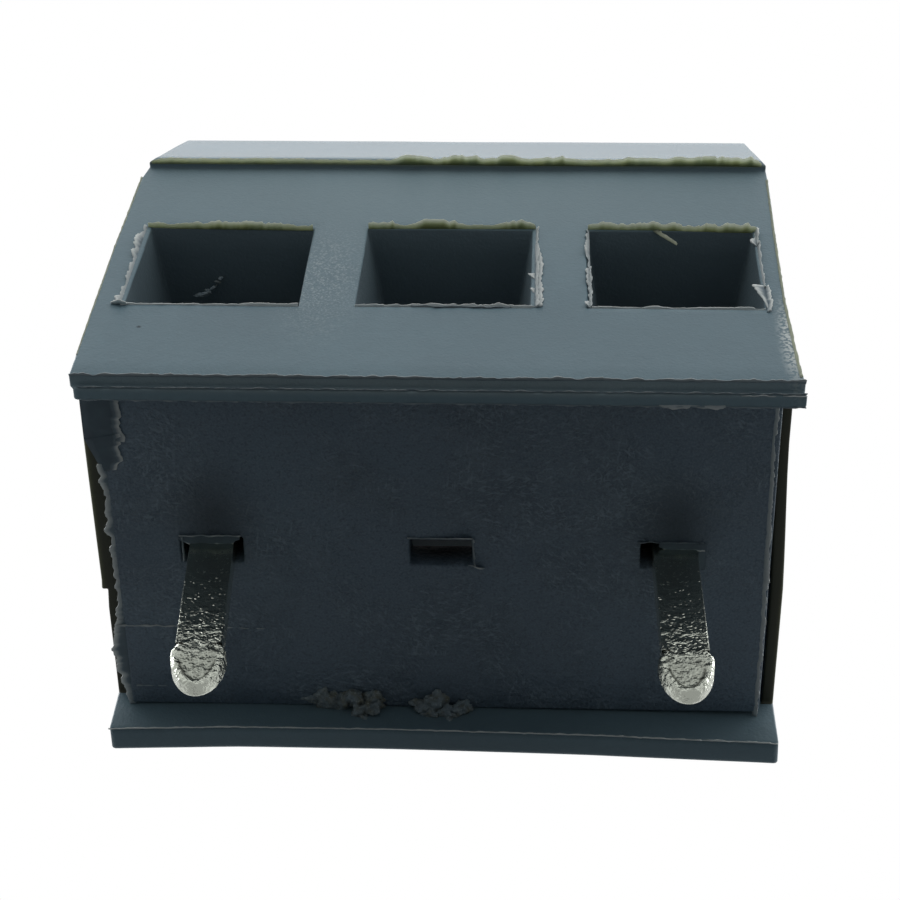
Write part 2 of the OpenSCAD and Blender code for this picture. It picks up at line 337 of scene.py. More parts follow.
def near(tree, place, centre, reach):
    """1 at a centre, falling to 0 at an ellipsoid that reaches this far, in millimetres."""
    moved = node(tree, "ShaderNodeMapping", {"Vector": place,
                                             "Location": [part * MM for part in centre],
                                             "Scale": [part * MM for part in reach]},
                 vector_type="TEXTURE")
    length = node(tree, "ShaderNodeVectorMath", {0: moved.outputs[0]}, operation="LENGTH")
    fall = node(tree, "ShaderNodeMapRange", {0: length.outputs["Value"], 1: 0.0, 2: 1.0,
                                             3: 1.0, 4: 0.0}, interpolation_type="SMOOTHSTEP")
    return fall.outputs[0]


def product(tree, *factors):
    """Multiplies sockets or numbers."""
    total = factors[0]
    for factor in factors[1:]:
        total = node(tree, "ShaderNodeMath", {0: total, 1: factor},
                     operation="MULTIPLY").outputs[0]
    return total


def relief(tree, height, depth, under=None):
    """A bump from a height pattern, this deep, over another bump if one is given."""
    inputs = {"Height": height, "Distance": depth, "Strength": 1.0}
    if under is not None:
        inputs["Normal"] = under
    return node(tree, "ShaderNodeBump", inputs).outputs[0]


def moulded_polyamide(name, base, roughness, shine=0.2):
    """Injection-moulded polyamide 66, filled slate grey, a little cloudy.

    The mould's fine spark-eroded skin scatters the light, so it looks satin to matt. It is
    frosted between two of the wire entries and scraped white down the right border. Light is
    painted on it: paler up the front face, paler on the rebate and olive along the ledge. Shade
    is painted darker under the ledge and along the skirt's foot.
    """
    made = new_material(name)
    tree = made.node_tree
    place = texture_place(tree)
    cloud = spots(tree, place, 3.0 * MM, 0.5, 0.3)
    mottle = spots(tree, place, 0.22 * MM, 0.5, 0.2)
    fleck = spots(tree, place, 0.09 * MM, 0.12, 0.03)
    scuff = product(tree, near(tree, place, *frosted_patch),
                    spots(tree, place, 0.05 * MM, 0.34, 0.07), 0.8)
    scrape = product(tree, near(tree, place, *scraped_border),
                     spots(tree, place, 0.08 * MM, 0.5, 0.06), 1.2)
    tone = base
    for share, strength, shade in (
            (cloud, 0.3, case_dark), (mottle, 0.12, case_dark),
            (near(tree, place, *painted_light_upper_face), 0.4, case_pale_and_lit), (fleck, 0.12, case_pale_and_lit),
            (scuff, 1.0, frost_colour), (scrape, 1.0, scrape_colour),
            (near(tree, place, *painted_light_on_rebate), 0.5, rebate_light_colour),
            (near(tree, place, *painted_skirt_shade), 0.3, shade_and_grime_colour),
            (near(tree, place, *painted_ledge_shadow), 0.36, shade_and_grime_colour),
            (near(tree, place, *painted_glow_on_ledge), 0.9, olive_colour),
            (near(tree, place, *dark_speck), 1.0, shade_and_grime_colour)):
        tone = blend_colour(tree, product(tree, share, strength), tone, shade)
    grain = node(tree, "ShaderNodeTexNoise", {"Vector": place, "Scale": 1 / (0.07 * MM),
                                              "Detail": 3.0})
    skin = relief(tree, mottle, 0.003 * MM)
    skin = relief(tree, grain.outputs[0], 0.012 * MM, skin)
    shader = node(tree, "ShaderNodeBsdfPrincipled", {
        "Base Color": tone, "Roughness": roughness, "IOR": polyamide_ior,
        "Specular IOR Level": shine, "Normal": skin})
    node(tree, "ShaderNodeOutputMaterial", {"Surface": shader.outputs[0]})
    return made


def thin_olive_edge():
    """The same polyamide where a wall thins out, with painted light and shade: light painted in
    olive from the outer edge, and painted shade dark olive further in.
    """
    made = new_material("thin_olive_polyamide")
    tree = made.node_tree
    place = texture_place(tree)
    across = node(tree, "ShaderNodeSeparateXYZ", {0: place}).outputs["X"]
    left = node(tree, "ShaderNodeMapRange", {0: across, 1: -7.6 * MM, 2: -7.8 * MM})
    right = node(tree, "ShaderNodeMapRange", {0: across, 1: 7.5 * MM, 2: 7.68 * MM})
    lit = node(tree, "ShaderNodeMath", {0: left.outputs[0], 1: right.outputs[0]},
               operation="MAXIMUM").outputs[0]
    lit = product(tree, lit, lit)
    speckled = product(tree, spots(tree, place, 0.12 * MM, 0.4, 0.1), 0.4)
    tone = blend_colour(tree, lit, olive_dark, olive_colour)
    tone = blend_colour(tree, speckled, tone, olive_dark)
    tone = blend_colour(tree, product(tree, lit, lit, lit), tone, olive_pale)
    shader = node(tree, "ShaderNodeBsdfPrincipled", {
        "Base Color": tone, "Roughness": 0.6, "IOR": polyamide_ior, "Specular IOR Level": 0.2})
    node(tree, "ShaderNodeOutputMaterial", {"Surface": shader.outputs[0]})
    return made


polyamide = moulded_polyamide("moulded_slate_polyamide", case_colour, 0.5)
# The slope's copy is smoother and shinier, and its bluer colour is a painted reflection.
smooth_polyamide = moulded_polyamide("smooth_slate_polyamide", slope_colour, 0.25, 0.5)
entry_shade_polyamide = moulded_polyamide("entry_shade_slate_polyamide", entry_shade_colour, 0.5)
olive_edge = thin_olive_edge()


def case_finish(face):
    """Which of the case's materials a face has.

    1 is for the lower edges of the side walls, which thin out to an olive edge with painted light
    and shade. 2 is for the smooth slope above the ledge, with a painted bluish reflection. 3 is
    for the wire entries and the cavities, painted darker for the shade inside them.
    """
    x, y, z = face.calc_center_median() / MM
    if face.normal.z < -0.2 and abs(x) > 7.3 and 1.2 < z < 1.5:
        return 1
    in_entry = -4.88 < y < -1 and 3 < z < 7.4
    in_cavity = -1.5 < y < 3.8 and 0.5 < z < 13.1
    if min(abs(x - middle) for middle in pole_places) < 2.2 and (in_entry or in_cavity):
        return 3
    return 2 if z > 10.5 and y < -3 and 0.15 < face.normal.z < 0.6 else 0


def between(pairs, at):
    """A value read off a list of (place, value) pairs, straight from one to the next."""
    for (low, first), (high, second) in zip(pairs, pairs[1:]):
        if low <= at <= high:
            return first + (second - first) * (at - low) / (high - low)
    return pairs[0][1] if at < pairs[0][0] else pairs[-1][1]


# How far the case's ends and its skirt have pulled out of true as they cooled: (place, shift)
# in millimetres, by height for the ends and by X for the skirt.
right_end_by_height = [(0, 0), (0.3, -0.09), (1, -0.11), (3.6, -0.15), (5, -0.13),
                       (7.3, -0.09), (8.6, -0.06), (10.3, -0.02), (10.45, -0.03), (10.7, -0.11),
                       (15.9, -0.06)]
left_end_by_height = [(-0.1, 0.15), (0, 0.14), (0.12, 0), (3, -0.04), (6, -0.07),
                      (10.3, -0.06), (10.45, 0.03), (10.7, 0.15), (15.9, 0.06)]
skirt_by_length = [(-7.6, 0.03), (-6, -0.04), (-4.9, -0.09), (-1.4, -0.10), (0, -0.08),
                   (1.1, -0.06), (3.5, -0.02), (5.2, 0.05), (6, 0.08), (7, 0.11), (7.6, 0.14)]


def pulled(place):
    """Where a point of the true case, in metres, lies on the case that was moulded."""
    x, y, z = place / MM
    end = between([(7, 0), (7.35, 1)], abs(x))
    front = between([(-2.5, 1), (1, 0)], y)
    ends = right_end_by_height if x > 0 else left_end_by_height
    move_x = end * front * between(ends, z)
    if x < 0:
        move_x -= end * 0.05 * between([(1.2, 0), (1.8, 1)], y)
    else:
        move_x += end * 0.05 * between([(4, 0), (4.6, 1)], y) * between([(0, 1), (1.3, 0)], z)
    skirt = between([(4.1, 0), (4.35, 1)], y) * between([(0, 1), (1.3, 0.2), (3, 0)], z)
    return Vector((x + move_x, y + skirt * between(skirt_by_length, x), z)) * MM


def build_housing():
    """The case from the CAD, with its edges rounded and worn, pulled out of true."""
    bm = merged("housing")
    low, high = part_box("housing")
    skirt_ends = [e for e in sharp_edges(bm)
                  if all(abs(v.co.x) > 7.5 * MM and v.co.y > 4.3 * MM and v.co.z < 0.05 * MM
                         for v in e.verts)]
    round_edges(bm, skirt_ends, worn_end, 1, clamp=False)
    round_edges(bm, sharp_edges(bm), edge_round, edge_segments, clamp=False)
    slice_across(bm, 0, low.x, high.x, 25)
    slice_across(bm, 1, low.y, high.y, 13)
    slice_across(bm, 2, low.z, high.z, 21)
    for face in bm.faces:
        face.material_index = case_finish(face)
    for vertex in bm.verts:
        vertex.co = pulled(vertex.co)
    make_uneven(bm, wave_height, wave_length, 3)
    piece = new_piece("moulded_case", bm, [polyamide, olive_edge, smooth_polyamide,
                                           entry_shade_polyamide])
    smooth_shaded(piece)
    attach(piece, "terminal_body")
    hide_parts("housing")


build_housing()

# ---------------------------------------------------------------- torn flash
# Where the mould's halves met, the plastic ran out into thin fins, which were torn off by
# hand. What is left is ragged: olive where light shines through, painted paler out to the
# torn edge, and a pale highlight painted along that edge.
fin_thickness = 0.022 * MM
fin_step = 0.05 * MM
fin_root = 0.04 * MM
longest_fin = 0.25 * MM
coarse_grain = 0.32 * MM
fine_grain = 0.09 * MM
crumple_length = 0.2 * MM
crumple_depth = 0.03 * MM
# How far in from a fin's edge its painted highlight reaches, and how long a fin must be for it to
# be full.
edge_light_width = 0.16 * MM
edge_light_reach = 0.3 * MM
# A fin's root, middle and edge colours: painted paler out to its edge, for light through the thin
# plastic, with a painted highlight at the edge.
olive_flash = ("#747b52", "#bcc1a0", "#e2e6dc")
grey_flash = ("#4c5962", "#7a8890", "#dde3e1")


def face_y(z):
    """The leaning front face's Y at a height, both in millimetres."""
    return -5.0 + 0.15 * (z - 0.12) / 10.33


def add_fin(bm, start, end, outward, reach, seed, ragged, pale):
    """One torn fin along a line, given in millimetres.

    It sticks out as far as reach says, a list of (share of the line's length, millimetres).
    The tip attribute rises towards 1 at the fin's torn edge. It sets how pale the fin is painted
    there: painted light and a painted highlight.
    A paleness under 0 keeps the edge grey too.
    """
    tip = bm.verts.layers.float["tip"]
    start, end = Vector(start) * MM, Vector(end) * MM
    outward = Vector(outward).normalized()
    length = (end - start).length
    along = (end - start) / length
    side = along.cross(outward)
    steps = max(6, round(length / fin_step))
    made = bmesh.ops.create_grid(bm, x_segments=steps, y_segments=4, size=0.5)["verts"]
    for vertex in made:
        share, out = vertex.co.x + 0.5, vertex.co.y + 0.5
        place = start.lerp(end, share)
        coarse = noise.noise(place / coarse_grain + Vector((seed, 0, 0)))
        fine = noise.noise(place / fine_grain + Vector((0, seed, 0)))
        height = between(reach, share) * MM * max(0.0, 1 + ragged * (1.4 * coarse + 1.1 * fine))
        if outward.y < -0.5:
            height = min(height, longest_fin)
        crumple = noise.noise(Vector((share * length / crumple_length, out, seed)))
        place += outward * ((height + fin_root) * out - fin_root)
        place += (side * crumple + along * fine) * crumple_depth * out
        vertex.co = pulled(place)
        # Painted highlight: paler near the fin's edge, more so on a long fin.
        near_edge = max(0.0, 1 - height * (1 - out) / edge_light_width)
        edge_light = near_edge * min(1, 0.35 + height / edge_light_reach)
        vertex[tip] = pale + (1 - pale) * edge_light


def flash_material(name, colours, through):
    """Thin torn polyamide: light passes through it, and it is painted paler out to its edge."""
    made = new_material(name)
    tree = made.node_tree
    root, middle, torn = colours
    place = texture_place(tree)
    tip = node(tree, "ShaderNodeAttribute", attribute_name="tip").outputs["Fac"]
    patch = spots(tree, place, 0.4 * MM, 0.5, 0.25)
    thin = node(tree, "ShaderNodeMapRange", {0: tip, 1: 0.05, 2: 0.5})
    edge = node(tree, "ShaderNodeMapRange", {0: tip, 1: 0.45, 2: 0.9})
    # Painted light: paler from the fin's root out towards its edge.
    tone = blend_colour(tree, thin.outputs[0], root, middle)
    tone = blend_colour(tree, product(tree, patch, 0.3), tone, case_colour)
    # Painted highlight: near-white along the fin's torn edge.
    tone = blend_colour(tree, edge.outputs[0], tone, torn)
    solid = node(tree, "ShaderNodeBsdfPrincipled", {
        "Base Color": tone, "Roughness": 0.6, "IOR": polyamide_ior, "Specular IOR Level": 0.2})
    clear = node(tree, "ShaderNodeBsdfTranslucent", {"Color": tone})
    mixed = node(tree, "ShaderNodeMixShader", {0: through, 1: solid.outputs[0],
                                               2: clear.outputs[0]})
    node(tree, "ShaderNodeOutputMaterial", {"Surface": mixed.outputs[0]})
    return made


def along_x(low, high, pairs):
    """Turns (x, reach) pairs into (share of the line, reach) pairs."""
    return [((x - low) / (high - low), reach) for x, reach in pairs]


ledge_reach = along_x(-7.55, 7.5, [
    (-7.55, 0.03), (-7.3, 0.12), (-6.8, 0.11), (-6.0, 0.10), (-5.0, 0.11), (-4.2, 0.13),
    (-3.6, 0.10), (-2.6, 0.09), (-1.6, 0.10), (-1.35, 0.20), (-1.0, 0.24), (-0.75, 0.20),
    (-0.5, 0.14), (-0.3, 0.19), (0.1, 0.26), (0.5, 0.23), (0.7, 0.15), (1.0, 0.14),
    (1.15, 0.26), (1.35, 0.28), (1.5, 0.18), (1.8, 0.14), (2.1, 0.17), (2.3, 0.24),
    (2.6, 0.23), (2.8, 0.14), (3.4, 0.11), (3.9, 0.15), (4.3, 0.20), (4.8, 0.19),
    (5.2, 0.18), (5.5, 0.22), (5.9, 0.23), (6.1, 0.28), (6.5, 0.28), (6.7, 0.22),
    (7.0, 0.20), (7.2, 0.24), (7.5, 0.06)])
# Each row is a fin on the front face: start x and z, end x and z, the way it sticks out, its
# reach along the line, how ragged it is, and how pale it is. First those that light shines
# through, at the top of each wire entry, then the torn edges round the rest.
top_fins = [
    (-7.06, 7.10, -3.19, 7.04, (0, -1, -0.1), [(0, .09), (.2, .13), (.45, .16), (.8, .16),
     (.97, .08), (1, .12)], 0.35, 0.1),
    (-1.90, 7.10, 2.0, 7.14, (0, -1, -0.1), [(0, .13), (.08, .2), (.14, .18), (.20, .09),
     (.25, .1), (.30, .22), (.42, .25), (.5, .25), (.53, .15), (.58, .09), (.8, .12),
     (.86, .22), (.92, .24), (.97, .13), (1, .1)], 0.3, 0.1),
    (3.2, 7.14, 7.12, 7.08, (0, -1, -0.1), [(0, .12), (.1, .17), (.25, .16), (.45, .18),
     (.55, .19), (.7, .18), (.8, .21), (.9, .17), (1, .12)], 0.35, 0.2),
    # a sliver that hangs into the right entry
    (4.72, 7.15, 5.24, 6.42, (0.7, -0.3, 0.7), [(0, .08), (.3, .05), (.6, .06), (1, .02)],
     0.4, 0.4),
    # the face's left and right borders
    (-7.6, 1.0, -7.62, 9.9, (-1, -0.2, 0), [(0, .008), (1, .008)], 0.4, 0.5),
    (7.6, 0.3, 7.6, 9.9, (1, -0.4, 0), [(0, .02), (.5, .01), (1, .008)], 0.4, 0.5),
]
face_fins = [
    # left wire entry: bottom, left side, lump at its lower corner
    (-7.06, 3.21, -3.17, 3.27, (0, -1, 0.2), [(0, .05), (.1, .03), (.5, .03), (.8, .04),
     (1, .03)], 0.6, 0.8),
    (-7.06, 3.24, -7.07, 7.12, (-0.8, -1, 0), [(0, .12), (.1, .09), (.3, .08), (.6, .11),
     (.75, .15), (.9, .08), (1, .1)], 0.5, 0.3),
    (-7.24, 3.26, -6.85, 3.22, (0, -1, -0.6), [(0, .05), (.4, .14), (.8, .1), (1, .03)], 0.6, 0.5),
    (-7.07, 3.24, -7.06, 3.75, (-1, -0.5, 0), [(0, .14), (.5, .16), (1, .03)], 0.6, 0.4),
    # middle wire entry: bottom, right side, the crust beside it, two spurs
    (-1.92, 3.29, 2.02, 3.27, (0, -1, 0.2), [(0, .02), (.1, .03), (.22, .04), (.5, .05),
     (.8, .06), (.9, .03), (1, .03)], 0.7, 0.8),
    (-0.7, 3.27, 1.5, 3.25, (0, -0.5, -1), [(0, .02), (.2, .07), (.5, .04), (.55, .1), (.7, .05),
     (1, .02)], 0.9, 0.1),
    (2.04, 3.26, 2.03, 7.12, (0.8, -1, 0), [(0, .08), (.3, .07), (.5, .06), (1, .05)], 0.6, 0.5),
    (2.04, 3.26, 2.03, 6.3, (1, -0.25, 0), [(0, .10), (.1, .14), (.2, .13), (.3, .15),
     (.42, .10), (.5, .13), (.6, .16), (.75, .14), (.85, .08), (1, .02)], 0.35, 0.35),
    (2.0, 4.62, 2.0, 4.86, (-1, -0.5, 0), [(0, .02), (.5, .14), (1, .03)], 0.5, 0.6),
    (2.0, 3.95, 2.0, 4.15, (-1, -0.5, 0), [(0, .02), (.5, .11), (1, .02)], 0.5, 0.6),
    # right wire entry: bottom, left side, right side from top to bottom
    (3.24, 3.27, 7.0, 3.28, (0, -1, 0.2), [(0, .02), (1, .02)], 0.9, 0.8),
    (3.21, 3.26, 3.21, 7.12, (-0.9, -1, 0), [(0, .09), (.25, .05), (.35, .09), (.6, .05),
     (.8, .08), (1, .05)], 0.9, 0.4),
    (3.24, 3.3, 3.24, 5.2, (1, -0.9, 0), [(0, .02), (.4, .03), (1, .02)], 0.9, 0.5),
    (7.09, 6.3, 7.10, 7.1, (-1, -0.5, 0), [(0, .02), (.12, .15), (.4, .11), (.8, .05), (1, .02)],
     0.5, 0.4),
    (7.09, 6.3, 7.09, 7.1, (0.6, -1, 0), [(0, .1), (.2, .13), (.8, .14), (1, .1)], 0.5, 0.4),
    (7.09, 4.2, 7.10, 6.35, (0.8, -1, 0), [(0, .1), (.2, .08), (1, .08)], 0.5, 0.3),
    (7.16, 3.2, 7.14, 4.3, (-1, -0.45, 0), [(0, .04), (.3, .18), (.6, .3), (.85, .36), (1, .1)],
     0.25, 0.45),
    (7.08, 3.12, 7.10, 4.25, (1, -0.4, 0), [(0, .14), (.5, .22), (1, .12)], 0.3, 0.25),
]


def on_face(rows):
    """Turns rows for the leaning front face into rows that give whole places."""
    return [((x0, face_y(z0), z0), (x1, face_y(z1), z1)) + tuple(rest)
            for x0, z0, x1, z1, *rest in rows]


# The fin along the ledge's edge, with whole places: start, end, the way it sticks out, reach,
# raggedness and paleness. The lists for the lip, the skirt and the plate have such rows too.
ledge_fins = [
    ((-7.55, -4.99, 10.47), (7.5, -4.99, 10.47), (0, -1, -0.05), ledge_reach, 0.2, 0.1)]
# Torn and rubbed edges that no light shines through, on the lip and the skirt.
lip_fins = [
    ((-7.55, -4.76, 0.02), (7.6, -4.76, 0.02), (0, -0.9, -1), [(0, .03), (1, .03)], 1.2, 0.1),
    ((-7.5, -4.47, 0.02), (7.6, -4.45, 0.02), (0, 0.6, -1), [(0, .02), (1, .02)], 0.9, 0.1),
    ((4.6, -4.48, 0.02), (5.95, -4.48, 0.02), (0, 1, -0.2), [(0, .02), (.2, .07), (.5, .05),
     (.9, .09), (1, .02)], 0.6, 0.4),
    ((6.2, -4.7, 0.03), (7.6, -4.7, 0.03), (0, -0.6, -1), [(0, .02), (.3, .06), (.6, .03),
     (.8, .08), (1, .07)], 0.9, 0.3),
    ((-7.62, 4.37, 0.03), (7.6, 4.37, 0.03), (0, -0.9, -0.9), [(0, .08), (.5, .07), (1, .06)],
     0.6, 0.7),
    ((-7.6, -4.985, 0.14), (7.62, -4.985, 0.14), (0, -1, -0.3), [(0, .07), (.1, .06), (.3, .07),
     (.6, .06), (1, .07)], 0.5, 0.1)]


def build_fins(name, rows, seed, material):
    """One piece of fins, each torn in its own way, which stays on the terminal's body."""
    bm = bmesh.new()
    bm.verts.layers.float.new("tip")
    for i, (start, end, outward, reach, ragged, pale) in enumerate(rows):
        add_fin(bm, start, end, outward, reach, seed + i, ragged, pale)
    bmesh.ops.solidify(bm, geom=bm.faces[:], thickness=fin_thickness)
    bm.normal_update()
    piece = new_piece(name, bm, [material])
    smooth_shaded(piece)
    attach(piece, "terminal_body")


torn_olive = flash_material("torn_olive_polyamide", olive_flash, 0.65)
torn_grey = flash_material("torn_grey_polyamide", grey_flash, 0.15)
build_fins("ledge_and_roof_flash", on_face(top_fins) + ledge_fins, 10, torn_olive)
build_fins("entry_and_lip_flash", on_face(face_fins) + lip_fins, 40, torn_grey)

# ---------------------------------------------------------------- base plate
# A separate moulding of the same polyamide, which closes the case from below. A rib along
# its front edge and one along its back snap into grooves in the lip and the skirt, and it has
# a slot for each pin. Shreds of flash are stuck to it.
plate_colour = "#5a6c7a"
plate_dark = "#3c4852"
plate_pale = "#8496a1"
slot_shade_colour = "#0c1013"
shred_grey = "#7f8e95"
shred_fold = "#68695a"
shred_pale = "#b3bfc1"
# Shade is painted round the two pins, and the slots are painted dark for the shade inside
# them. Places and reaches are by X, Y and Z in millimetres.
pin_shade_places = ((-5.0, -0.8, 0.9), (5.1, -0.9, 0.9))
pin_shade_reach = (1.4, 2, 2)
slot_shade_reach = (1.5, 1, 0.72)
# Scratches run four ways: the turn of each, in radians, and the size of its patches.
scratch_ways = ((0.5, 1.3 * MM), (-0.9, 1.9 * MM), (1.5, 1.1 * MM), (-0.2, 1.6 * MM))


def plate_polyamide():
    """The same polyamide as the case, knocked and scratched all over its outer face."""
    made = new_material("scratched_plate_polyamide")
    tree = made.node_tree
    place = texture_place(tree)
    cloud = spots(tree, place, 2.6 * MM, 0.5, 0.2)
    haze = spots(tree, place, 0.5 * MM, 0.4, 0.12)
    grit = spots(tree, place, 0.05 * MM, 0.4, 0.08)
    pock = spots(tree, place, 0.08 * MM, 0.3, 0.05)
    tone = blend_colour(tree, product(tree, cloud, 0.4), plate_colour, plate_dark)
    tone = blend_colour(tree, product(tree, pock, 0.4), tone, plate_dark)
    tone = blend_colour(tree, product(tree, grit, 0.16), tone, plate_pale)
    worn = spots(tree, place, 1.4 * MM, 0.45, 0.1)
    tone = blend_colour(tree, product(tree, haze, worn, 0.2), tone, plate_pale)
    for turn, patch_size in scratch_ways:
        turned = node(tree, "ShaderNodeMapping", {"Vector": place, "Rotation": (0, 0, turn)})
        patch = spots(tree, turned.outputs[0], patch_size, 0.42, 0.06)
        drawn = node(tree, "ShaderNodeMapping", {"Vector": turned.outputs[0],
                                                 "Scale": (1, 3.0, 1)})
        scratch = spots(tree, drawn.outputs[0], 0.22 * MM, 0.26, 0.05)
        tone = blend_colour(tree, product(tree, scratch, patch, worn, 0.55), tone, plate_pale)
    # Painted shade: darker round each pin.
    for pin_shade_place in pin_shade_places:
        pin_shade = near(tree, place, pin_shade_place, pin_shade_reach)
        tone = blend_colour(tree, product(tree, pin_shade, 0.75), tone, shade_and_grime_colour)
    # Painted shade: each slot is painted dark inside.
    for x in pole_places:
        slot = near(tree, place, (x, -0.05, 1.6), slot_shade_reach)
        tone = blend_colour(tree, product(tree, slot, 1.6), tone, slot_shade_colour)
    swell = node(tree, "ShaderNodeTexNoise", {"Vector": place, "Scale": 1 / (0.9 * MM),
                                              "Detail": 2.0})
    pit = node(tree, "ShaderNodeTexNoise", {"Vector": place, "Scale": 1 / (0.1 * MM),
                                            "Detail": 4.0})
    skin = relief(tree, swell.outputs[0], 0.08 * MM)
    skin = relief(tree, pit.outputs[0], 0.03 * MM, skin)
    skin = relief(tree, product(tree, pit.outputs[0], worn), 0.06 * MM, skin)
    shader = node(tree, "ShaderNodeBsdfPrincipled", {
        "Base Color": tone, "Roughness": 0.5, "IOR": polyamide_ior, "Specular IOR Level": 0.25,
        "Normal": skin})
    node(tree, "ShaderNodeOutputMaterial", {"Surface": shader.outputs[0]})
    return made


def build_plate():
    """The plate from the CAD, with its edges rounded."""
    bm = merged("base_plate")
    low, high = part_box("base_plate")
    round_edges(bm, sharp_edges(bm), edge_round, edge_segments, clamp=False)
    slice_across(bm, 0, low.x, high.x, 24)
    slice_across(bm, 1, low.y, high.y, 14)
    make_uneven(bm, wave_height, wave_length, 8)
    piece = new_piece("snapped_base_plate", bm, [plate_polyamide()])
    smooth_shaded(piece)
    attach(piece, "terminal_body")
    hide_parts("base_plate")


build_plate()

# Torn edges of the plate and its slots. A paleness of -3 keeps a whole fin grey.
plate_fins = [
    # left edge, right edge
    ((-7.2, -2.3, 0.94), (-7.2, 1.9, 0.94), (-1, 0, -0.2), [(0, .18), (.3, .17), (.6, .16),
     (.8, .12), (1, .16)], 0.35, 0.25),
    ((-7.2, 1.9, 0.94), (-7.2, 4.35, 0.94), (-1, 0, -0.2), [(0, .18), (.2, .24), (.4, .28),
     (.6, .26), (.8, .18), (1, .1)], 0.25, 0.25),
    ((7.13, -4.2, 0.9), (7.13, 4.35, 0.9), (1, 0, -0.25), [(0, .09), (1, .09)], 0.4, 0.3),
    # the flap over the front left corner
    ((-7.6, -4.42, 0.9), (-7.6, -2.9, 0.9), (1, 0, -0.06), [(0, .72), (.5, .77), (1, .82)],
     0.08, 0),
    ((-7.6, -2.95, 0.9), (-7.28, -2.12, 0.9), (1, -0.2, -0.06), [(0, .82), (.4, .62), (.8, .45),
     (1, .25)], 0.12, 0),
    # a raised line across the plate, and a fainter one
    ((-7.4, 2.10, 0.9), (-3.55, 2.11, 0.9), (0, -1, -0.5), [(0, .06), (.35, .06), (.5, .03),
     (.6, .04), (.8, .02), (1, .01)], 0.5, 0.35),
    ((-7.1, 3.82, 0.9), (-6.4, 3.8, 0.9), (0, -1, -0.5), [(0, .03), (1, .02)], 0.9, 0.1),
    # left slot, closed in front against its pin
    ((-5.80, -0.42, 0.92), (-4.45, -0.44, 0.92), (0, 1, -0.1), [(0, .1), (.15, .2), (.3, .22),
     (.85, .22), (.92, .12), (1, .08)], 0.1, -3),
    ((-5.80, -0.42, 0.9), (-4.42, -0.44, 0.9), (0, -0.6, -1), [(0, .07), (.3, .05), (.7, .06),
     (1, .09)], 0.6, 0.1),
    ((-5.74, -0.42, 0.9), (-5.74, 0.25, 0.9), (-0.3, 0, -1), [(0, .05), (1, .02)], 0.9, 0.1),
    # centre slot
    ((-0.74, -0.43, 0.9), (0.70, -0.43, 0.9), (0, -0.8, -1), [(0, .09), (.15, .04), (.5, .04),
     (.8, .07), (.95, .11), (1, .06)], 0.7, 0.15),
    ((0.69, -0.45, 0.9), (0.72, 0.3, 0.9), (0.4, 0, -1), [(0, .08), (.4, .03), (1, .07)],
     0.9, 0.15),
    ((0.6, 0.28, 0.9), (0.95, 0.34, 0.9), (0, -0.5, -1), [(0, .02), (.6, .1), (1, .03)],
     0.9, 0.15),
    # right slot, closed in front of its pin and on its right
    ((4.78, -0.42, 0.92), (5.78, -0.42, 0.92), (0, 1, -0.1), [(0, .12), (.2, .22), (1, .2)],
     0.1, -3),
    ((5.78, -0.42, 0.92), (5.78, 0.3, 0.92), (-1, 0, -0.1), [(0, .14), (1, .14)], 0.1, -3),
    ((4.3, -0.43, 0.9), (5.75, -0.43, 0.9), (0, -0.5, -1), [(0, .06), (.2, .08), (.4, .03),
     (1, .03)], 0.9, 0.1),
]
build_fins("plate_flash", plate_fins, 70, torn_grey)

# Shreds of flash rolled up and stuck in the corner of plate and skirt: where each lies, its
# radii and its turn about Y, in millimetres and degrees.
shreds = [
    ((-3.10, 4.12, 0.93), (0.34, 0.12, 0.10), 12), ((-2.75, 4.10, 0.92), (0.30, 0.30, 0.20), 25),
    ((-2.40, 4.16, 0.90), (0.34, 0.34, 0.22), -10), ((-2.05, 4.05, 0.88), (0.30, 0.28, 0.20), 30),
    ((-1.75, 4.25, 0.75), (0.34, 0.30, 0.28), -25), ((-1.62, 4.02, 0.90), (0.24, 0.22, 0.20), 5),
    ((-1.90, 4.40, 0.60), (0.26, 0.16, 0.22), 40), ((-0.52, 4.20, 0.85), (0.28, 0.20, 0.20), 20),
    ((-0.18, 4.12, 0.86), (0.34, 0.30, 0.18), -20), ((0.14, 4.34, 0.66), (0.24, 0.22, 0.26), 50),
    ((0.42, 4.24, 0.78), (0.26, 0.20, 0.20), -35), ((-0.30, 4.38, 0.62), (0.20, 0.18, 0.16), 0)]
# A little fluff hangs from the roof of the left wire entry.
fluff = [((-5.80, -3.38, 6.64), (0.20, 0.05, 0.05), -25),
         ((-5.72, -3.42, 6.72), (0.12, 0.04, 0.06), 50),
         ((-5.60, -3.48, 6.78), (0.13, 0.03, 0.04), -60),
         ((-5.50, -3.60, 6.84), (0.11, 0.03, 0.04), 20),
         ((-5.42, -3.70, 6.84), (0.08, 0.03, 0.05), -75),
         ((-5.93, -3.36, 6.58), (0.11, 0.03, 0.04), 5)]


def shred_polyamide():
    """Shredded polyamide: pale where it was stretched, brown-olive in its folds."""
    made = new_material("shredded_polyamide")
    tree = made.node_tree
    place = texture_place(tree)
    fold = spots(tree, place, 0.25 * MM, 0.4, 0.15)
    stretched = spots(tree, place, 0.07 * MM, 0.25, 0.05)
    tone = blend_colour(tree, fold, shred_grey, shred_fold)
    tone = blend_colour(tree, product(tree, stretched, 0.4), tone, shred_pale)
    crease = node(tree, "ShaderNodeTexNoise", {"Vector": place, "Scale": 1 / (0.1 * MM),
                                               "Detail": 5.0})
    shader = node(tree, "ShaderNodeBsdfPrincipled", {
        "Base Color": tone, "Roughness": 0.6, "IOR": polyamide_ior, "Specular IOR Level": 0.2,
        "Normal": relief(tree, crease.outputs[0], 0.04 * MM)})
    node(tree, "ShaderNodeOutputMaterial", {"Surface": shader.outputs[0]})
    return made


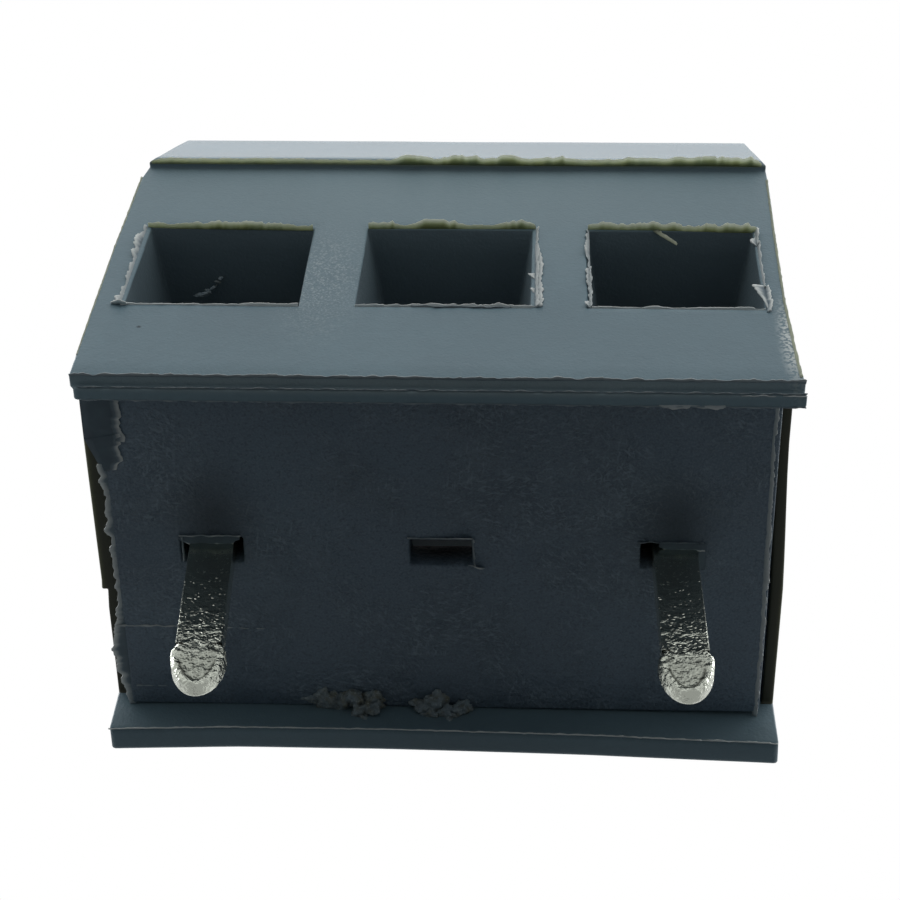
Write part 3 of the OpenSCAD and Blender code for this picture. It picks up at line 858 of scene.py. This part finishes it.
def build_shreds(name, rows):
    """One piece of folded lumps or strands, which stays on the terminal's body."""
    bm = bmesh.new()
    for i, (place, radii, turn) in enumerate(rows):
        made = bmesh.ops.create_icosphere(bm, subdivisions=4, radius=1.0)["verts"]
        spin = Matrix.Rotation(math.radians(turn), 3, "Y")
        for vertex in made:
            spot = vertex.co.copy()
            folds = noise.noise(spot * 1.6 + Vector((i, 0, 0)))
            creases = abs(noise.noise(spot * 4 + Vector((0, i, 0))))
            grit = noise.noise(spot * 9 + Vector((0, 0, i)))
            size = 1 + 0.55 * folds - 0.5 * creases + 0.14 * grit
            stretched = Vector([spot[k] * size * radii[k] for k in range(3)])
            vertex.co = pulled((Vector(place) + spin @ stretched) * MM)
    piece = new_piece(name, bm, [shredded])
    smooth_shaded(piece)
    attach(piece, "terminal_body")


shredded = shred_polyamide()
build_shreds("plate_shreds", shreds)
build_shreds("entry_fluff", fluff)

# ---------------------------------------------------------------- solder pins
# Each strip is stamped from brass, bent and tinned. Its foot is clamped between the plate and
# the case, and its pin comes out through the plate's slot and ends in a coined, rounded tip.
tin_colour = "#c4c9be"
tin_dull = "#b0b5aa"
tin_crease_shade = "#34372f"
shank_bottom = -2.69 * MM
pin_round = 0.035 * MM
end_top = -2.893 * MM
end_half = 0.575 * MM
end_length = 1.0 * MM
shank_half = 0.486 * MM
neck_low = -0.17 * MM
neck_high = -0.45 * MM
front_y = -0.247 * MM
back_y = 0.247 * MM
front_slope = 0.14
hollow_slope = 0.1
# Where each pin's coined end hangs, in millimetres, and how far the pin leans, in degrees.
pin_lean = {"left": (-4.855, 3.39), "right": (5.207, 1.0)}
# The end's section from the middle of its front round to its back: inset from the outline,
# share of the coined hollow, and distance behind the front, in millimetres.
end_section = [(0.29, 1, 0), (0.24, 1, 0), (0.21, 0.85, 0), (0.11, 0, 0), (0.07, 0, 0.003),
               (0.03, 0, 0.03), (0.005, 0, 0.08), (0, 0, 0.12), (0, 0, 0.417), (0.02, 0, 0.467),
               (0.06, 0, 0.494)]


def tinned_brass():
    """Hot-tinned brass strip: bright, with a crumpled skin of frozen tin.

    It gets rougher towards the pin's end, which the coining tool left finely wrinkled.
    """
    made = new_material("tinned_brass_strip")
    tree = made.node_tree
    place = texture_place(tree)
    height = node(tree, "ShaderNodeSeparateXYZ", {0: place}).outputs["Z"]
    coined = node(tree, "ShaderNodeAttribute", attribute_name="coined").outputs["Fac"]
    crowd = node(tree, "ShaderNodeMapRange", {0: height, 1: 0.8 * MM, 2: end_top,
                                              3: 0.3, 4: 1.0}).outputs[0]
    drop = node(tree, "ShaderNodeTexVoronoi", {"Vector": place, "Scale": 1 / (0.1 * MM)})
    pimple = node(tree, "ShaderNodeMapRange", {0: drop.outputs["Distance"], 1: 0.35, 2: 0.1})
    pimples = product(tree, pimple.outputs[0], spots(tree, place, 0.16 * MM, 0.5, 0.06))
    crumple = spots(tree, place, 0.17 * MM, 0.45, 0.12)
    crumples = product(tree, crumple, crowd, crowd, crowd)
    wrinkle = node(tree, "ShaderNodeTexNoise", {"Vector": place, "Scale": 1 / (0.09 * MM),
                                                "Detail": 4.0})
    rough = node(tree, "ShaderNodeMapRange", {0: coined, 3: 0.22, 4: 0.34})
    below = node(tree, "ShaderNodeMapRange", {0: height, 1: end_top - 0.2 * MM,
                                              2: end_top - 0.4 * MM})
    inner = node(tree, "ShaderNodeMapRange", {0: coined, 1: 0.25, 2: 0.55})
    outer = node(tree, "ShaderNodeMapRange", {0: coined, 1: 1.1, 2: 0.75})
    crease = product(tree, inner.outputs[0], outer.outputs[0], below.outputs[0])
    tone = blend_colour(tree, product(tree, coined, 0.8), tin_colour, tin_dull)
    # Painted shade: the crease round the coined hollow is painted dark.
    tone = blend_colour(tree, product(tree, crease, 0.8), tone, tin_crease_shade)
    skin = relief(tree, product(tree, pimples, crowd), 0.02 * MM)
    skin = relief(tree, crumples, 0.03 * MM, skin)
    skin = relief(tree, product(tree, wrinkle.outputs[0], coined), 0.03 * MM, skin)
    shader = node(tree, "ShaderNodeBsdfPrincipled", {
        "Base Color": tone, "Metallic": 1.0, "Roughness": rough.outputs[0],
        "Normal": skin})
    node(tree, "ShaderNodeOutputMaterial", {"Surface": shader.outputs[0]})
    return made


tinned = tinned_brass()


def end_outline():
    """The coined end seen from in front, as (across, down) from its shoulders.

    It is a half ellipse below a neck as wide as the shank, into which the neck runs up.
    """
    angles = [math.pi * i / 40 for i in range(41)]
    round_part = [(-math.cos(a) * end_half, math.sin(a) * end_length) for a in angles]
    neck = [(shank_half, neck_low), (shank_half, neck_high), (-shank_half, neck_high),
            (-shank_half, neck_low)]
    return [Vector(point) for point in round_part + neck]


def add_coined_end(bm, side):
    """The pin's end: its front leans back into a hollow inside a rounded rim."""
    across, lean = pin_lean[side]
    turn = Matrix.Rotation(-math.radians(lean), 3, "Y")
    outline = end_outline()
    count = len(outline)
    inward = []
    for i, point in enumerate(outline):
        along = (outline[(i + 1) % count] - outline[i - 1]).normalized()
        inward.append(Vector((along.y, -along.x)))
    coined = bm.verts.layers.float["coined"]
    rings = []
    for inset, hollow, behind in end_section:
        ring = []
        for point, side_way in zip(outline, inward):
            spot = point + side_way * inset * MM
            down = max(0.0, spot.y)
            slope = front_slope * (behind < 0.3) + hollow_slope * hollow
            y = min(front_y + slope * down + behind * MM, back_y)
            flat = turn @ Vector((spot.x, 0, -spot.y))
            vertex = bm.verts.new((across * MM + flat.x, y, end_top + flat.z))
            vertex[coined] = hollow * min(1.0, down / (0.1 * MM)) + 0.15
            ring.append(vertex)
        rings.append(ring)
    for first, second in zip(rings, rings[1:]):
        for i in range(count):
            j = (i + 1) % count
            bm.faces.new((first[i], first[j], second[j], second[i]))
    bm.faces.new(rings[0])
    bm.faces.new(rings[-1])


def build_pin(side):
    """One strip from the CAD, cut off above its end, and the coined end below it."""
    name = side + "_pin"
    bm = merged(name)
    bm.verts.layers.float.new("coined")
    cut(bm, (0, 0, shank_bottom), (0, 0, -1), drop_beyond=True)
    shown = [e for e in sharp_edges(bm, 50) if max(v.co.z for v in e.verts) < 1.95 * MM
             and abs(e.verts[0].co.z - e.verts[1].co.z) > 1 * MM]
    round_edges(bm, shown, pin_round, 2, clamp=False)
    add_coined_end(bm, side)
    bmesh.ops.recalc_face_normals(bm, faces=bm.faces)
    keep_corners(bm)
    piece = new_piece(side + "_solder_strip", bm, [tinned])
    smooth_shaded(piece)
    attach(piece, "terminal_body")
    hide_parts(name)


for side in ("left", "right"):
    build_pin(side)

# ---------------------------------------------------------------- cages
# Each is cold-formed brass, nickel-plated, with a window for the wire and a tapped head. It
# rides on its screw's thread and pulls the wire up against the strip's current bar.
nickel_colour = "#c2bfae"
cage_round = 0.05 * MM


def plated_brass():
    """Barrel-plated nickel over brass: bright and slightly warm, with fine tumbling marks."""
    made = new_material("nickel_plated_brass")
    tree = made.node_tree
    place = texture_place(tree)
    mark = node(tree, "ShaderNodeTexNoise", {"Vector": place, "Scale": 1 / (0.2 * MM),
                                             "Detail": 4.0})
    shader = node(tree, "ShaderNodeBsdfPrincipled", {
        "Base Color": colour(nickel_colour), "Metallic": 1.0, "Roughness": 0.3,
        "Normal": relief(tree, mark.outputs[0], 0.01 * MM)})
    node(tree, "ShaderNodeOutputMaterial", {"Surface": shader.outputs[0]})
    return made


nickel = plated_brass()


def build_cage(side):
    """One cage from the CAD, with its edges rounded."""
    name = side + "_cage"
    bm = merged(name)
    round_edges(bm, sharp_edges(bm), cage_round, 2)
    keep_corners(bm)
    piece = new_piece(side + "_rising_cage", bm, [nickel])
    smooth_shaded(piece)
    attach(piece, name)
    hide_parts(name)


for side in ("left", "right"):
    build_cage(side)

# ---------------------------------------------------------------- clamp screws
# Slotted screws of zinc-plated steel, with a rolled M2.5 x 0.45 thread. Each is held at its
# height under the roof, so that turning it lifts its cage.
zinc_colour = "#bfc4c8"
screw_round = 0.03 * MM
head_bottom = 13.05 * MM
shank_end = 7.6 * MM
thread_pitch = 0.45 * MM
thread_crest = 1.22 * MM
thread_root = 0.96 * MM
thread_sides = 48
undercut_height = 0.35 * MM
undercut_depth = 0.06 * MM


def zinc_plated_steel():
    """Zinc-plated steel with a clear passivation: pale, faintly blue, softly bright."""
    made = new_material("zinc_plated_steel")
    tree = made.node_tree
    place = texture_place(tree)
    mark = node(tree, "ShaderNodeTexNoise", {"Vector": place, "Scale": 1 / (0.15 * MM),
                                             "Detail": 4.0})
    shader = node(tree, "ShaderNodeBsdfPrincipled", {
        "Base Color": colour(zinc_colour), "Metallic": 1.0, "Roughness": 0.34,
        "Normal": relief(tree, mark.outputs[0], 0.01 * MM)})
    node(tree, "ShaderNodeOutputMaterial", {"Surface": shader.outputs[0]})
    return made


zinc = zinc_plated_steel()


def add_thread(bm, middle):
    """The threaded shank, from under the head down to its chamfered end."""
    top, bottom = head_bottom + 0.1 * MM, shank_end
    rings = math.ceil((top - bottom) / (thread_pitch / 8))
    rows = []
    for i in range(rings + 1):
        z = top + (bottom - top) * i / rings
        row = []
        for k in range(thread_sides):
            angle = 2 * math.pi * k / thread_sides
            turns = (z / thread_pitch - k / thread_sides) % 1.0
            crest = min(1.0, max(0.0, 1.6 - 4.2 * abs(turns - 0.5)))
            radius = thread_root + (thread_crest - thread_root) * crest
            radius = min(radius, thread_root + 0.7 * max(0.0, z - bottom))
            if z > head_bottom - undercut_height:
                radius = thread_root + undercut_depth
            row.append(bm.verts.new((middle.x + radius * math.cos(angle),
                                     middle.y + radius * math.sin(angle), z)))
        rows.append(row)
    for first, second in zip(rows, rows[1:]):
        for k in range(thread_sides):
            j = (k + 1) % thread_sides
            bm.faces.new((first[k], second[k], second[j], first[j]))
    bm.faces.new(rows[-1])


def build_screw(side):
    """The head comes from the CAD. The plain shank below it gives way to a threaded one."""
    name = side + "_screw"
    bm = merged(name)
    low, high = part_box(name)
    cut(bm, (0, 0, head_bottom - 0.02 * MM), (0, 0, -1), drop_beyond=True)
    round_edges(bm, sharp_edges(bm), screw_round, 2)
    add_thread(bm, (low + high) / 2)
    keep_corners(bm)
    piece = new_piece(side + "_clamp_screw", bm, [zinc])
    smooth_shaded(piece)
    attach(piece, name)
    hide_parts(name)


for side in ("left", "right"):
    build_screw(side)
